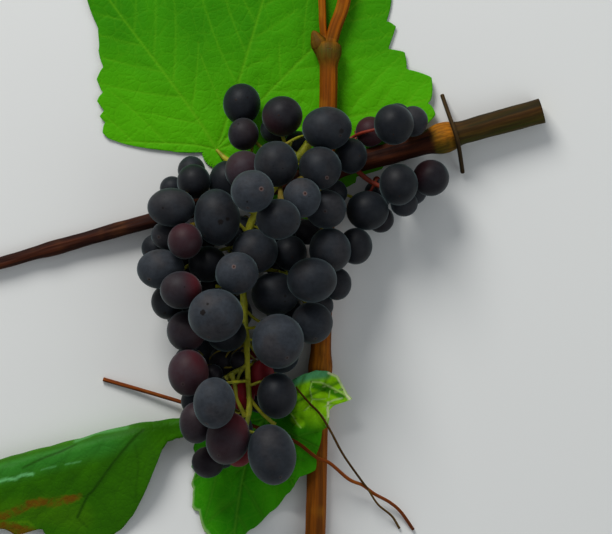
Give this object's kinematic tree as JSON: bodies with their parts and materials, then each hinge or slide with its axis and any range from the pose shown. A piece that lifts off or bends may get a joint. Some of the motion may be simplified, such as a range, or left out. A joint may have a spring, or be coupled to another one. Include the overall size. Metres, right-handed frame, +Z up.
{
  "type": "cut grapevine branch with grape bunch",
  "caption": "Cut length of grapevine lying down: woody cane, shoots, leaves, tendrils and a hanging bunch of dark blue-black grapes with a small side bunch.",
  "frame": {"origin": "on the surface the cutting lies on, under the middle of its box", "axes": "+X to the right along the cane, +Y up along the shoot and the bunch, +Z up from the surface"},
  "size_m": [0.244, 0.2676, 0.0673],
  "materials": {
    "cane_bark": "dark red-brown bark, fibrous and dull",
    "shoot_bark": "orange-brown ripening shoot, fine lengthwise grooves",
    "bunch_stalk": "fresh yellow-green stalk, satin",
    "berry_skin": "blue-black skin under a pale waxy bloom",
    "top_leaf_blade": "bright green leaf with yellow-green veins",
    "lower_leaf_blade": "dark green leaf with a slight sheen",
    "tendril_bark": "dry red-brown tendril"
  },
  "bodies": {
    "root": {"cane": "cane_bark", "lower_shoot": "shoot_bark", "upper_shoot": "shoot_bark", "bunch_stalk": "bunch_stalk", "side_bunch_stalk": "bunch_stalk", "top_leaf": "top_leaf_blade", "left_leaf": "lower_leaf_blade", "centre_leaf": "lower_leaf_blade", "long_tendril": "tendril_bark", "dry_tendril": "tendril_bark", "side_berry_01": "berry_skin", "side_berry_02": "berry_skin", "side_berry_03": "berry_skin", "side_berry_04": "berry_skin", "berry_01": "berry_skin", "berry_02": "berry_skin", "berry_03": "berry_skin", "berry_04": "berry_skin", "berry_05": "berry_skin", "berry_06": "berry_skin", "berry_07": "berry_skin", "berry_08": "berry_skin", "berry_09": "berry_skin", "berry_10": "berry_skin", "berry_11": "berry_skin", "berry_12": "berry_skin", "berry_13": "berry_skin", "berry_14": "berry_skin", "berry_15": "berry_skin", "berry_16": "berry_skin", "berry_17": "berry_skin", "berry_18": "berry_skin", "berry_19": "berry_skin", "berry_20": "berry_skin", "berry_21": "berry_skin", "berry_22": "berry_skin", "berry_23": "berry_skin", "berry_24": "berry_skin", "berry_25": "berry_skin", "berry_26": "berry_skin", "berry_27": "berry_skin", "berry_28": "berry_skin", "berry_29": "berry_skin", "berry_30": "berry_skin", "berry_31": "berry_skin", "berry_32": "berry_skin", "berry_33": "berry_skin", "berry_34": "berry_skin", "berry_35": "berry_skin", "berry_36": "berry_skin", "berry_37": "berry_skin", "berry_38": "berry_skin", "berry_39": "berry_skin", "berry_40": "berry_skin", "berry_41": "berry_skin", "berry_42": "berry_skin"}
  },
  "joints": []
}
